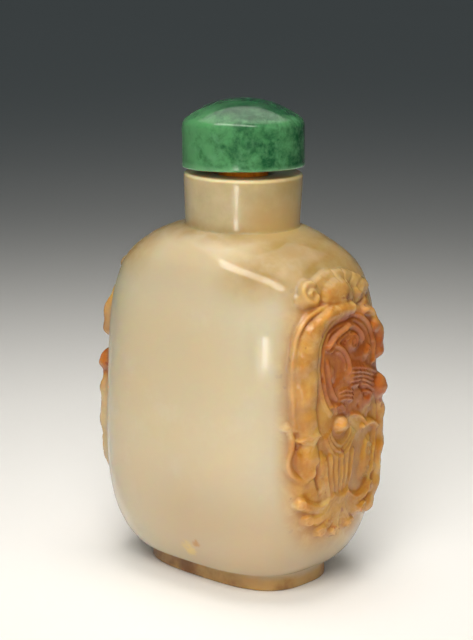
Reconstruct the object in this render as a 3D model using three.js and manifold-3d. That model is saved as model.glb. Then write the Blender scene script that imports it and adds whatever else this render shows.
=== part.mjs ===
// A carved hardstone snuff bottle with a stone-capped cork stopper.
// Millimetres, +Z up. The origin is the middle of the foot rim's underside, X runs across the
// broad faces and Y through the thickness, so the two carved narrow sides face +X and -X.
import * as THREE from 'three';
import { mergeVertices } from 'three/addons/utils/BufferGeometryUtils.js';
import Module from 'manifold-3d';

const wasm = await Module();
wasm.setup();

// ---- Driving dimensions ----
const FOOT = { halfX: 13.6, halfY: 8.8, height: 2.5, squareness: 3, bevel: 0.35 };
const RECESS = { halfX: 11.2, halfY: 6.4, depth: 1.3 };
const BODY = {
  halfX: 19.65, halfY: 15.0, squareness: 3,
  widestZ: 27, bottomZ: 0.3, topZ: 51.75,
  lowX: 3.8, lowY: 3.3, highX: 3.6, highY: 3.9,
  thinning: 0.06 / 25,
};
const NECK = { baseRadius: 8.35, topRadius: 8.62, shoulderZ: 51.75, topZ: 59.35, lip: 0.5, bore: 3.9 };
const CAVITY = { halfX: 16.1, halfY: 11.6, widestZ: 27, bottomZ: 5.6, topZ: 48.2, squareness: 2.6 };
const CAP = {
  radius: 8.85, bottomZ: 60.12, shoulderZ: 66.7, topZ: 70, edge: 0.35, shoulder: 1.5, socketDepth: 1.5,
};
// The cap is glued a little askew on its cork; the side that faces this way is the higher one.
const CAP_LEAN = { degrees: 3, facing: 65 };
const PLUG = { topRadius: 3.6, tipRadius: 3.25, tipZ: 51.0, clearance: 0.3 };

// The carved field on each narrow side, as a share of the turn around the section.
const CARVED_HALF_ANGLE = THREE.MathUtils.degToRad(43);
const CARVED_COLUMNS = 22;
const PLAIN_COLUMNS = 9;
const BODY_ROWS = 51;

// ---- Small helpers ----
const clamp01 = (t) => Math.min(1, Math.max(0, t));
const smooth = (t) => clamp01(t) ** 2 * (3 - 2 * clamp01(t));

/** Height of a rounded arch at t, where 0 is its crown and 1 its springing. */
const arch = (t, power) => (1 - clamp01(Math.abs(t)) ** power) ** (1 / power);

/** Two sizes joined by a small fillet: the larger of them, rounded where they are close. */
const filletedMax = (a, b, sharpness) => (a ** sharpness + b ** sharpness) ** (1 / sharpness);

/** The unit point of a superellipse in the direction of an angle. */
function superellipse(angle, power) {
  const c = Math.cos(angle);
  const s = Math.sin(angle);
  const r = (Math.abs(c) ** power + Math.abs(s) ** power) ** (-1 / power);
  return [r * c, r * s];
}

// ---- The carving, drawn in side elevation: v across the narrow side, z up ----

/** A raised line from one point to another, bent towards a third. */
function stroke(from, bend, to, startHalfWidth, endHalfWidth, height) {
  const curve = new THREE.QuadraticBezierCurve(
    new THREE.Vector2(...from), new THREE.Vector2(...bend), new THREE.Vector2(...to));
  const steps = 12;
  const points = curve.getPoints(steps);
  return (v, z) => {
    let nearest = 1;
    points.forEach((p, i) => {
      const halfWidth = THREE.MathUtils.lerp(startHalfWidth, endHalfWidth, i / steps);
      nearest = Math.min(nearest, Math.hypot(v - p.x, z - p.y) / halfWidth);
    });
    return height * (1 - nearest ** 2) ** 0.7;
  };
}

/** A raised round or oval boss. */
function boss(v0, z0, halfV, halfZ, height) {
  return (v, z) => {
    const t = Math.hypot((v - v0) / halfV, (z - z0) / halfZ);
    return height * Math.max(0, 1 - t ** 2) ** 0.6;
  };
}

/** The crest over the panel: a boss under a rolled edge, with a curl at either hand. */
function crest() {
  return [
    boss(-0.6, 44.3, 3.7, 2.3, 1.5),
    stroke([-6.6, 44.3], [-0.4, 48.6], [6.0, 44.3], 1.1, 1.1, 0.9),
    boss(-5.6, 44.5, 1.8, 1.8, 1.3),
    boss(4.3, 44.5, 1.7, 1.7, 0.8),
  ];
}

/** The broad rolled leaf edge that frames the panel, and the thin rim inside it. */
function leafEdge() {
  return [
    stroke([1.0, 42.0], [-8.4, 42.6], [-7.8, 33.5], 1.2, 1.9, 1.5),
    stroke([-7.8, 33.5], [-8.2, 28.5], [-7.2, 24.8], 1.9, 1.6, 1.5),
    stroke([0.2, 40.6], [-6.0, 40.4], [-5.2, 33.0], 0.6, 0.7, 0.9),
    stroke([-5.2, 33.0], [-5.0, 29.6], [-2.4, 27.4], 0.7, 0.8, 0.8),
  ];
}

/** The hooded figure in the panel, with ridged plumage that runs to the side knob. */
function figure() {
  const forms = [
    stroke([-3.8, 37.4], [-1.0, 39.4], [0.7, 39.7], 0.8, 0.8, 1.0),
    stroke([0.7, 39.7], [3.2, 39.4], [3.6, 37.2], 0.8, 0.8, 1.0),
    boss(1.2, 37.3, 1.9, 1.5, 0.8),
    stroke([-2.3, 37.3], [0.5, 36.4], [0.5, 32.9], 0.7, 0.8, 0.8),
    boss(8.1, 29.5, 1.9, 2.0, 1.95),
  ];
  for (let ridge = 0; ridge < 3; ridge += 1) {
    const z = 33.2 - 1.25 * ridge;
    forms.push(stroke([0.9, z], [4.2, z - 0.1], [7.2, z - 1.8], 0.7, 0.7, 0.8));
  }
  return forms;
}

/** The outer leaves: a small hooked one above the knob, a long one below it. */
function outerLeaves() {
  return [
    stroke([7.4, 38.4], [9.0, 38.0], [8.4, 34.6], 1.2, 1.2, 1.35),
    stroke([8.6, 27.6], [11.0, 20.5], [6.9, 12.0], 1.2, 1.4, 1.3),
    stroke([-9.9, 26.8], [-8.8, 24.2], [-9.7, 21.8], 0.8, 0.8, 0.6),
    stroke([-9.7, 21.8], [-9.6, 19.2], [-7.2, 18.5], 0.8, 0.8, 0.6),
    boss(-7.0, 21.7, 1.8, 3.3, 1.4),
  ];
}

/** The round bud under the panel and the cup lines that hold it. */
function bud() {
  return [
    boss(-1.2, 25.6, 1.6, 1.4, 1.6),
    stroke([-3.6, 25.0], [-1.2, 21.6], [1.7, 24.6], 0.7, 0.7, 0.8),
  ];
}

/** Stems that gather downwards into the root of the frond fan. */
function stems() {
  const forms = [];
  for (let k = 0; k < 4; k += 1) {
    const spread = k - 1.5;
    const top = [-1.4 + 2.0 * spread, 22.0];
    const middle = [-1.1 + 1.6 * spread, 18.0];
    const root = [-0.9 + 0.9 * spread, 14.0];
    forms.push(stroke(top, middle, root, 0.7, 0.8, 0.7));
  }
  return forms;
}

/** Leaves that fill the ground beside the stems and under the knob. */
function panelLeaves() {
  return [
    stroke([5.6, 23.0], [5.1, 19.8], [4.1, 16.6], 1.1, 1.3, 0.9),
    boss(5.6, 28.4, 1.3, 1.4, 0.8),
  ];
}

/** A fan of curled fronds around the foot of the carving. */
function frondFan() {
  const root = { v: -0.8, z: 17.5 };
  const count = 7;
  const forms = [];
  for (let k = 0; k < count; k += 1) {
    const angle = THREE.MathUtils.degToRad(197 + (143 * k) / (count - 1));
    const inner = THREE.MathUtils.lerp(angle, 1.5 * Math.PI, 0.45);
    const at = (a, r) => [root.v + r * Math.cos(a), root.z + r * Math.sin(a)];
    forms.push(stroke(at(inner, 2.5), at(inner, 6.0), at(angle, 7.4), 0.6, 1.0, 1.1));
    forms.push(boss(...at(angle, 7.5), 1.15, 1.15, 1.3));
  }
  return forms;
}

const CARVING = [
  crest(), leafEdge(), figure(), outerLeaves(), bud(), stems(), panelLeaves(), frondFan(),
].flat();

/** The low ground that the carving stands on, fading out at its edge. */
function carvedGround(v, z) {
  const t = Math.hypot((Math.abs(v) / 9.6) ** 1.5, (Math.abs(z - 28) / 19.4) ** 1.5);
  return 0.3 * smooth((1 - t) / 0.2);
}

/** Height of the carving over the plain body. */
function carvedHeight(v, z) {
  const forms = CARVING.map((form) => form(v, z));
  return Math.max(carvedGround(v, z), ...forms);
}

/** The carving as the coarse mesh shows it: its height averaged over one facet's width. */
function softenedHeight(v, z) {
  const reach = [-0.6, -0.3, 0, 0.3, 0.6];
  let sum = 0;
  for (const dv of reach) {
    for (const dz of reach) sum += carvedHeight(v + dv, z + dz);
  }
  return sum / reach.length ** 2;
}

// ---- Sections of the bottle, from the foot to the mouth ----

/** How tight the fillet between the shoulder and the neck is: slack near the neck only. */
const filletSharpness = (z) => 12 - 7.5 * smooth((z - 38) / 10);

/** The plain body's half sizes and squareness at a height. */
function bodySection(z) {
  const up = z > BODY.widestZ;
  const reach = up ? BODY.topZ - BODY.widestZ : BODY.widestZ - BODY.bottomZ;
  const t = (z - BODY.widestZ) / reach;
  const thinning = 1 - BODY.thinning * (z - BODY.widestZ);
  const halfX = BODY.halfX * arch(t, up ? BODY.highX : BODY.lowX);
  const halfY = BODY.halfY * thinning * arch(t, up ? BODY.highY : BODY.lowY);
  if (!up) return { z, halfX, halfY, power: BODY.squareness };
  const round = smooth((z - 45) / (BODY.topZ - 45));
  return {
    z,
    halfX: filletedMax(halfX, NECK.baseRadius, filletSharpness(z)),
    halfY: filletedMax(halfY, NECK.baseRadius, filletSharpness(z)),
    power: BODY.squareness - round * (BODY.squareness - 2),
  };
}

/** Heights between two limits, spaced evenly along the body's profile. */
function evenHeights(fromZ, toZ, rows) {
  const samples = 2000;
  const zAt = (i) => {
    const s = 0.5 - 0.5 * Math.cos((Math.PI * i) / samples);
    return THREE.MathUtils.lerp(fromZ, toZ, s);
  };
  const along = [0];
  for (let i = 1; i <= samples; i += 1) {
    const below = bodySection(zAt(i - 1));
    const above = bodySection(zAt(i));
    const step = Math.hypot(above.z - below.z, above.halfX - below.halfX);
    along.push(along[i - 1] + step);
  }
  const heights = [];
  for (let row = 0; row <= rows; row += 1) {
    const target = (along[samples] * row) / rows;
    const i = along.findIndex((length) => length >= target - 1e-9);
    heights.push(zAt(i));
  }
  return heights;
}

/** Every section of the outside, lowest first. */
function outerSections() {
  const foot = (z, inset) => ({
    z, halfX: FOOT.halfX - inset, halfY: FOOT.halfY - inset, power: FOOT.squareness,
  });
  const neck = (z, inset) => {
    const t = (z - NECK.shoulderZ) / (NECK.topZ - NECK.shoulderZ);
    const radius = THREE.MathUtils.lerp(NECK.baseRadius, NECK.topRadius, smooth(t)) - inset;
    return { z, halfX: radius, halfY: radius, power: 2 };
  };
  const undersideZ = FOOT.height + 0.5;
  const body = evenHeights(undersideZ, BODY.topZ, BODY_ROWS).map(bodySection);
  return [
    foot(0, FOOT.bevel),
    foot(FOOT.bevel, 0),
    foot(FOOT.height - 0.3, 0.05),
    foot(FOOT.height, -0.25),
    ...body,
    neck(NECK.shoulderZ + 2.4, 0),
    neck(NECK.topZ - NECK.lip, 0),
    neck(NECK.topZ - 0.15, 0.15),
    neck(NECK.topZ, NECK.lip),
  ];
}

/** The angles of the columns: close together on the carved sides, wider on the plain ones. */
function columnAngles() {
  const angles = [];
  for (const side of [0, Math.PI]) {
    for (let i = 0; i < CARVED_COLUMNS; i += 1) {
      const t = i / CARVED_COLUMNS;
      angles.push(side + THREE.MathUtils.lerp(-CARVED_HALF_ANGLE, CARVED_HALF_ANGLE, t));
    }
    const plainSpan = Math.PI - 2 * CARVED_HALF_ANGLE;
    for (let i = 0; i < PLAIN_COLUMNS; i += 1) {
      angles.push(side + CARVED_HALF_ANGLE + (plainSpan * i) / PLAIN_COLUMNS);
    }
  }
  return angles;
}

/** A point on the plain outside: the section's superellipse scaled to its half sizes. */
function sectionPoint(section, angle) {
  const [x, y] = superellipse(angle, section.power);
  return new THREE.Vector3(section.halfX * x, section.halfY * y, section.z);
}

/** The outward direction of the plain body at a point. */
function outward(section, angle) {
  const step = 1e-3;
  const near = bodySection(section.z + step);
  const here = sectionPoint(section, angle);
  const alongTurn = sectionPoint(section, angle + step).sub(here);
  const alongHeight = sectionPoint(near, angle).sub(here);
  return alongTurn.cross(alongHeight).normalize();
}

/** A point on the bottle's outside, with the carving raised on its narrow sides. */
function bottlePoint(section, angle) {
  const point = sectionPoint(section, angle);
  const lowestCarving = 7;
  const highestCarving = 49;
  if (section.z < lowestCarving || section.z > highestCarving) return point;
  // The two sides are the same carving turned by half a turn.
  const v = point.x > 0 ? point.y : -point.y;
  if (Math.abs(v) > 12 || Math.abs(point.x) < 0.5 * BODY.halfX) return point;
  const height = softenedHeight(v, point.z);
  return height > 0 ? point.addScaledVector(outward(section, angle), height) : point;
}

// ---- Building closed meshes ----

/** A closed loft through rings of points, with a flat fan over its first and last ring. */
function loft(rings) {
  const columns = rings[0].length;
  const middle = (ring) => {
    const sum = ring.reduce((total, p) => total.add(p), new THREE.Vector3());
    return sum.divideScalar(columns);
  };
  const points = [...rings.flat(), middle(rings[0]), middle(rings.at(-1))];
  const bottom = points.length - 2;
  const top = points.length - 1;
  const faces = [];
  for (let j = 0; j < columns; j += 1) {
    const next = (j + 1) % columns;
    for (let i = 0; i < rings.length - 1; i += 1) {
      const low = i * columns;
      const high = low + columns;
      faces.push(low + j, low + next, high + next);
      faces.push(low + j, high + next, high + j);
    }
    const last = (rings.length - 1) * columns;
    faces.push(bottom, next, j);
    faces.push(top, last + j, last + next);
  }
  const geometry = new THREE.BufferGeometry();
  geometry.setFromPoints(points);
  geometry.setIndex(faces);
  return geometry;
}

/** A closed body of revolution about Z from (radius, z) pairs that start and end on the axis. */
function turned(profile, segments) {
  const points = profile.map(([radius, z]) => new THREE.Vector2(radius, z));
  return new THREE.LatheGeometry(points, segments).rotateX(Math.PI / 2);
}

/** Points of a quarter round from one tangent point to the other. */
function quarter(centreRadius, centreZ, radius, fromDeg, toDeg, steps) {
  return Array.from({ length: steps + 1 }, (_, i) => {
    const angle = THREE.MathUtils.degToRad(THREE.MathUtils.lerp(fromDeg, toDeg, i / steps));
    return [centreRadius + radius * Math.cos(angle), centreZ + radius * Math.sin(angle)];
  });
}

function toSolid(geometry) {
  const bare = geometry.clone();
  bare.deleteAttribute('normal');
  bare.deleteAttribute('uv');
  const merged = mergeVertices(bare, 1e-4);
  return new wasm.Manifold(new wasm.Mesh({
    numProp: 3,
    vertProperties: new Float32Array(merged.attributes.position.array),
    triVerts: new Uint32Array(merged.index.array),
  }));
}

function toGeometry(solid) {
  const mesh = solid.getMesh();
  const geometry = new THREE.BufferGeometry();
  geometry.setAttribute('position', new THREE.BufferAttribute(mesh.vertProperties, 3));
  geometry.setIndex(new THREE.BufferAttribute(mesh.triVerts, 1));
  return geometry;
}

// ---- The pieces ----

function bottleOutside() {
  const angles = columnAngles();
  return loft(outerSections().map((section) => angles.map((angle) => bottlePoint(section, angle))));
}

/** The hollow inside: a rounded well under the shoulders and a straight bore up the neck. */
function bottleInside() {
  const columns = 24;
  const rows = 11;
  const rings = [];
  const ring = (z, halfX, halfY, power) => {
    rings.push(Array.from({ length: columns }, (_, j) => (
      sectionPoint({ z, halfX, halfY, power }, (2 * Math.PI * j) / columns))));
  };
  for (let row = 1; row <= rows; row += 1) {
    const t = -Math.cos((Math.PI * row) / (rows + 0.6));
    const reach = t > 0 ? CAVITY.topZ - CAVITY.widestZ : CAVITY.widestZ - CAVITY.bottomZ;
    const width = arch(t, 2.6);
    const halfX = filletedMax(CAVITY.halfX * width, NECK.bore, t > 0 ? 6 : 60);
    const halfY = filletedMax(CAVITY.halfY * width, NECK.bore, t > 0 ? 6 : 60);
    ring(CAVITY.widestZ + reach * t, halfX, halfY, CAVITY.squareness);
  }
  ring(CAVITY.topZ + 1, NECK.bore, NECK.bore, 2);
  ring(NECK.topZ - 0.3, NECK.bore, NECK.bore, 2);
  ring(NECK.topZ + 0.2, NECK.bore + 0.5, NECK.bore + 0.5, 2);
  return loft(rings);
}

/** The shallow oval recess inside the foot rim. */
function footRecess() {
  const columns = 24;
  const ring = (z, inset) => Array.from({ length: columns }, (_, j) => sectionPoint(
    { z, halfX: RECESS.halfX - inset, halfY: RECESS.halfY - inset, power: FOOT.squareness },
    (2 * Math.PI * j) / columns,
  ));
  return loft([ring(-0.5, 0), ring(RECESS.depth - 0.5, 0.1), ring(RECESS.depth, 0.6)]);
}

function bottleGeometry() {
  const solid = toSolid(bottleOutside())
    .subtract(toSolid(bottleInside()))
    .subtract(toSolid(footRecess()));
  return toGeometry(solid);
}

/** The domed cap: straight sides, a rounded shoulder, a low spherical top and a socket below. */
function capGeometry() {
  const rise = CAP.topZ - CAP.shoulderZ;
  const domeRadius = (CAP.radius ** 2 + rise ** 2) / (2 * rise);
  const domeZ = CAP.topZ - domeRadius;
  // The shoulder's round touches both the straight side and the dome.
  const roundRadius = CAP.radius - CAP.shoulder;
  const roundHeight = Math.sqrt((domeRadius - CAP.shoulder) ** 2 - roundRadius ** 2);
  const edgeAngle = THREE.MathUtils.radToDeg(Math.atan2(roundHeight, roundRadius));
  const socket = PLUG.topRadius + PLUG.clearance;
  const profile = [
    [0, CAP.bottomZ + CAP.socketDepth],
    [socket, CAP.bottomZ + CAP.socketDepth],
    [socket, CAP.bottomZ],
    ...quarter(CAP.radius - CAP.edge, CAP.bottomZ + CAP.edge, CAP.edge, -90, 0, 3),
    ...quarter(roundRadius, domeZ + roundHeight, CAP.shoulder, 0, edgeAngle, 3),
    ...quarter(0, domeZ, domeRadius, edgeAngle + 7, 87, 5),
    [0, CAP.topZ],
  ];
  const facing = THREE.MathUtils.degToRad(CAP_LEAN.facing);
  const hinge = new THREE.Vector3(-Math.cos(facing), -Math.sin(facing), 0);
  const lean = new THREE.Matrix4().makeRotationAxis(hinge, THREE.MathUtils.degToRad(CAP_LEAN.degrees));
  return turned(profile, 32)
    .translate(0, 0, -CAP.bottomZ)
    .applyMatrix4(lean)
    .translate(0, 0, CAP.bottomZ);
}

/** The tapered cork, from inside the cap's socket down into the bore. */
function plugGeometry() {
  const topZ = CAP.bottomZ + CAP.socketDepth - 2 * PLUG.clearance;
  const profile = [
    [0, PLUG.tipZ],
    [PLUG.tipRadius - 0.4, PLUG.tipZ],
    [PLUG.tipRadius, PLUG.tipZ + 0.4],
    [PLUG.topRadius, NECK.topZ],
    [PLUG.topRadius, topZ],
    [0, topZ],
  ];
  return turned(profile, 24);
}

function piece(name, geometry, color, roughness) {
  const material = new THREE.MeshStandardMaterial({ color, roughness, metalness: 0 });
  const mesh = new THREE.Mesh(geometry, material);
  mesh.name = name;
  return mesh;
}

const snuffBottle = new THREE.Group();
snuffBottle.add(
  piece('bottle', bottleGeometry(), 0xd9c6a5, 0.3),
  piece('stopper_cap', capGeometry(), 0x2f8a5e, 0.2),
  piece('stopper_plug', plugGeometry(), 0x9a4a18, 0.8),
);

export default snuffBottle;
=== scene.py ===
"""Looks of the carved hardstone snuff bottle: fine carving, stones, cork, light and camera.

The carving is drawn in millimetres in side elevation, v across the narrow side and z up,
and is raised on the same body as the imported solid. Everything is scaled to metres at the end.
"""
import math

import bpy
import numpy as np
from mathutils import Matrix, Vector


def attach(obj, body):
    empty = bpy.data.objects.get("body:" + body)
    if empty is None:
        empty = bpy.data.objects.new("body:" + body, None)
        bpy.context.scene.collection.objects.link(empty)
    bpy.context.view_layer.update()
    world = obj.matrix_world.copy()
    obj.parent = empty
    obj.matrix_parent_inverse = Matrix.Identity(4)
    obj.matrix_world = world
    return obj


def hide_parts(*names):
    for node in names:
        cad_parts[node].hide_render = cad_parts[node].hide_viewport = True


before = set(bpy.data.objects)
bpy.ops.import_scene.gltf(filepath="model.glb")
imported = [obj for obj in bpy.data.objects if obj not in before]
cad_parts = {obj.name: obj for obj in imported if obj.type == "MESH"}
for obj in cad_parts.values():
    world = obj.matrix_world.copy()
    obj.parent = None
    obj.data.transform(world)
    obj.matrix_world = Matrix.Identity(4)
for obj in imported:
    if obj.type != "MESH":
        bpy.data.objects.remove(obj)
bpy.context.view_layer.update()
MM = 0.001

# ---- Driving dimensions, in millimetres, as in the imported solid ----
FOOT_HALF = (13.6, 8.8)
FOOT_HEIGHT = 2.5
FOOT_BEVEL = 0.35
RECESS_HALF = (11.2, 6.4)
RECESS_DEPTH = 1.3
BODY_HALF = (19.65, 15.0)
SQUARENESS = 3.0
WIDEST_Z = 27.0
BODY_BOTTOM_Z = 0.3
BODY_TOP_Z = 51.75
LOW_POWER = (3.8, 3.3)
HIGH_POWER = (3.6, 3.9)
THINNING = 0.06 / 25
NECK_BASE_RADIUS = 8.35
NECK_TOP_RADIUS = 8.62
NECK_TOP_Z = 59.35
LIP = 0.5
BORE = 3.9
CAVITY_HALF = (16.1, 11.6)
CAVITY_Z = (5.6, 48.2)
CAVITY_SQUARENESS = 2.6
CAP_RADIUS = 8.85
CAP_BOTTOM_Z = 60.12
CAP_SHOULDER_Z = 66.7
CAP_TOP_Z = 70.0
CAP_EDGE = 0.35
CAP_SHOULDER = 1.5
SOCKET_DEPTH = 1.5
CAP_LEAN = math.radians(3)
CAP_LEAN_FACING = math.radians(65)
PLUG_TOP_RADIUS = 3.6
PLUG_TIP_RADIUS = 3.25
PLUG_TIP_Z = 51.0
CLEARANCE = 0.3

CARVED_HALF_ANGLE = math.radians(43)
CARVED_COLUMNS = 140
PLAIN_COLUMNS = 15
BODY_ROWS = 262
BORE_COLUMNS = 44
CAP_SEGMENTS = 128
PLUG_SEGMENTS = 72

# ---- The viewpoint, in degrees, metres and millimetres of lens ----
VIEW_AZIMUTH = 41.63
VIEW_PITCH = 13.01
VIEW_ROLL = 0.84
VIEW_YAW = 0.134
VIEW_DISTANCE = 0.290
VIEW_HEIGHT = 0.1044
VIEW_LENS = 114.3


# ---- Small helpers ----
def smooth(t):
    t = np.clip(t, 0, 1)
    return t * t * (3 - 2 * t)


def lerp(a, b, t):
    return a + (b - a) * t


def arch(t, power):
    """Height of a rounded arch at t, where 0 is its crown and 1 its springing."""
    return (1 - np.clip(np.abs(t), 0, 1) ** power) ** (1 / power)


def filleted_max(a, b, sharpness):
    return (a**sharpness + b**sharpness) ** (1 / sharpness)


def soft_max(a, b):
    """The larger of two heights, with the valley between them rounded."""
    rounding = 0.06
    return 0.5 * (a + b + np.sqrt((a - b) ** 2 + rounding**2)) - 0.5 * rounding


def superellipse(angle, power):
    """The unit point of a superellipse in the direction of an angle."""
    c, s = np.cos(angle), np.sin(angle)
    r = (np.abs(c) ** power + np.abs(s) ** power) ** (-1 / power)
    return r * c, r * s


# ---- The carving ----
class Relief:
    """Heights of a carving over points (v, z), built up by raising and cutting forms."""

    def __init__(self, v, z):
        self.v = v
        self.z = z
        self.height = np.zeros_like(v)

    def _apply(self, box, form):
        """Runs a form on the points inside a box only."""
        low_v, high_v, low_z, high_z = box
        near = (self.v > low_v) & (self.v < high_v) & (self.z > low_z) & (self.z < high_z)
        if near.any():
            self.height[near] = form(self.v[near], self.z[near], self.height[near])

    def _line(self, points, widths, form):
        """Runs a form that depends on the distance to a line, in half widths."""
        points = np.array(points, float)
        margin = max(widths) + 0.05
        low = points.min(0) - margin
        high = points.max(0) + margin

        def on_points(v, z, height):
            nearest = np.full_like(v, 1.0)
            for i in range(len(points) - 1):
                start, end = points[i], points[i + 1]
                along = end - start
                length2 = max(along @ along, 1e-9)
                from_v, from_z = v - start[0], z - start[1]
                t = np.clip((from_v * along[0] + from_z * along[1]) / length2, 0, 1)
                distance = np.hypot(from_v - t * along[0], from_z - t * along[1])
                width = widths[i] + t * (widths[i + 1] - widths[i])
                nearest = np.minimum(nearest, distance / width)
            return form(nearest, height)

        self._apply((low[0], high[0], low[1], high[1]), on_points)

    def raise_line(self, points, widths, height, fullness=0.5):
        def form(nearest, ground):
            crown = height * np.clip(1 - nearest**2, 0, 1) ** fullness
            return soft_max(ground, crown)

        self._line(points, widths, form)

    def add_line(self, points, widths, height):
        """Lays a low line over whatever is there; a negative height cuts a groove."""
        self._line(points, widths, lambda nearest, ground: ground + height * smooth(1 - nearest))

    def raise_boss(self, v0, z0, half_v, half_z, height, fullness=0.55, tilt=0.0):
        reach = max(half_v, half_z) + 0.05
        c, s = math.cos(math.radians(tilt)), math.sin(math.radians(tilt))

        def form(v, z, ground):
            across = (v - v0) * c + (z - z0) * s
            up = -(v - v0) * s + (z - z0) * c
            t = np.hypot(across / half_v, up / half_z)
            return soft_max(ground, height * np.clip(1 - t**2, 0, 1) ** fullness)

        self._apply((v0 - reach, v0 + reach, z0 - reach, z0 + reach), form)

    def cut_dot(self, v0, z0, radius, depth):
        def form(v, z, ground):
            t = np.hypot(v - v0, z - z0) / radius
            return ground - depth * smooth(1.3 - 1.3 * t)

        self._apply((v0 - radius, v0 + radius, z0 - radius, z0 + radius), form)


def bent(start, bend, end, steps=16):
    """Points along a line from start to end that bends towards a third point."""
    t = np.linspace(0, 1, steps + 1)[:, None]
    start, bend, end = (np.array(p, float) for p in (start, bend, end))
    return (1 - t) ** 2 * start + 2 * t * (1 - t) * bend + t**2 * end


def spiral(v0, z0, outer, inner, start_deg, turns, steps=28):
    """Points along a spiral that winds inwards; negative turns wind clockwise."""
    t = np.linspace(0, 1, steps + 1)
    angle = np.radians(start_deg) + 2 * np.pi * turns * t
    radius = lerp(outer, inner, t)
    return np.stack([v0 + radius * np.cos(angle), z0 + radius * np.sin(angle)], 1)


def tapered(count, start, end):
    return np.linspace(start, end, count)


def stroke(relief, start, bend, end, start_width, end_width, height, fullness=0.5):
    points = bent(start, bend, end)
    relief.raise_line(points, tapered(len(points), start_width, end_width), height, fullness)


def groove(relief, start, bend, end, width, depth):
    points = bent(start, bend, end, 10)
    relief.add_line(points, tapered(len(points), width, width * 0.6), -depth)


def curl(relief, v0, z0, radius, start_deg, turns, height):
    """A rolled tip: a low boss with a ridge that winds up on it."""
    relief.raise_boss(v0, z0, radius, radius, height * 0.7)
    points = spiral(v0, z0, radius * 0.85, radius * 0.12, start_deg, turns)
    relief.raise_line(points, tapered(len(points), radius * 0.3, radius * 0.16), height)


def carve_crest(relief):
    stroke(relief, (-6.8, 43.9), (-0.4, 48.7), (6.2, 44.2), 1.1, 1.1, 0.95)
    relief.raise_boss(-0.6, 44.3, 3.7, 2.2, 1.6, 0.5, -4)
    curl(relief, -5.6, 44.5, 1.75, 60, 1.4, 1.4)
    curl(relief, 4.3, 44.5, 1.6, 120, -1.4, 0.85)
    lobes = 7
    for k in range(lobes):
        angle = math.radians(lerp(152, 30, k / (lobes - 1)))
        inner = (-0.3 + 4.2 * math.cos(angle), 43.2 + 2.4 * math.sin(angle))
        outer = (-0.3 + 6.4 * math.cos(angle), 43.2 + 3.9 * math.sin(angle))
        groove(relief, inner, inner, outer, 0.24, 0.35)
    groove(relief, (-5.8, 42.8), (-3.6, 42.0), (-1.8, 42.5), 0.5, 0.7)
    groove(relief, (1.0, 42.9), (3.2, 42.0), (5.4, 42.6), 0.5, 0.7)
    for v0, z0 in ((1.6, 42.7), (2.7, 42.4), (3.5, 43.0), (4.3, 42.4), (2.3, 43.7)):
        relief.cut_dot(v0, z0, 0.42, 0.4)


def carve_leaf_edge(relief):
    stroke(relief, (-3.2, 42.9), (-9.4, 42.8), (-9.25, 34.0), 0.4, 0.45, 0.9)
    stroke(relief, (-9.25, 34.0), (-9.7, 29.4), (-8.9, 26.2), 0.45, 0.4, 0.9)
    stroke(relief, (1.4, 41.9), (-7.9, 43.0), (-7.5, 33.5), 1.0, 1.75, 1.55, 0.42)
    stroke(relief, (-7.5, 33.5), (-7.8, 28.5), (-7.0, 25.0), 1.75, 1.5, 1.5, 0.42)
    stroke(relief, (0.4, 40.9), (-6.4, 41.0), (-5.6, 33.5), 0.36, 0.36, 0.85)
    stroke(relief, (-5.6, 33.5), (-5.5, 30.0), (-3.1, 27.6), 0.36, 0.34, 0.8)
    stroke(relief, (0.3, 40.2), (-5.5, 39.9), (-4.8, 33.5), 0.26, 0.28, 0.6)
    stroke(relief, (-4.8, 33.5), (-4.7, 30.6), (-2.6, 28.4), 0.28, 0.26, 0.6)
    relief.cut_dot(-5.1, 32.9, 0.45, 0.5)


def carve_figure(relief):
    stroke(relief, (1.5, 32.8), (4.4, 32.6), (8.0, 30.3), 1.9, 1.6, 0.6)
    relief.raise_boss(1.2, 37.4, 2.2, 1.7, 0.6)
    stroke(relief, (-3.9, 37.3), (-1.2, 39.2), (0.6, 39.75), 0.5, 0.42, 1.1)
    stroke(relief, (0.6, 39.75), (2.9, 39.5), (3.7, 37.2), 0.42, 0.36, 1.0)
    stroke(relief, (-3.2, 36.6), (-1.0, 38.4), (0.7, 38.9), 0.26, 0.24, 0.85)
    points = spiral(1.3, 37.3, 1.25, 0.2, 150, -1.6)
    relief.raise_line(points, tapered(len(points), 0.26, 0.2), 0.95)
    stroke(relief, (-2.5, 37.4), (0.3, 36.9), (0.5, 33.0), 0.4, 0.3, 0.95)
    stroke(relief, (-2.0, 36.5), (-0.5, 36.2), (-0.3, 33.6), 0.24, 0.2, 0.6)
    ridges = 5
    for k in range(ridges):
        z = 33.7 - 0.66 * k
        stroke(relief, (0.7 + 0.1 * k, z), (4.2, z), (7.3, z - 1.9), 0.26, 0.22, 0.95)
    for k in range(3):
        z = 30.6 - 0.62 * k
        stroke(relief, (-1.4, z), (0.0, z + 0.2), (1.4, z - 0.3), 0.25, 0.2, 0.8)
    relief.raise_boss(8.1, 29.5, 1.85, 1.95, 2.0, 0.5)
    groove(relief, (6.9, 31.0), (6.3, 29.4), (7.1, 27.9), 0.3, 0.4)
    relief.cut_dot(3.4, 30.7, 0.65, 0.75)
    groove(relief, (3.5, 30.4), (4.2, 29.7), (4.8, 28.6), 0.45, 0.6)
    for k in range(3):
        v0 = -3.2 + 0.8 * k
        stroke(relief, (v0, 28.7), (v0 + 0.9, 28.6), (v0 + 1.1, 27.5), 0.26, 0.16, 0.9)


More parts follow.
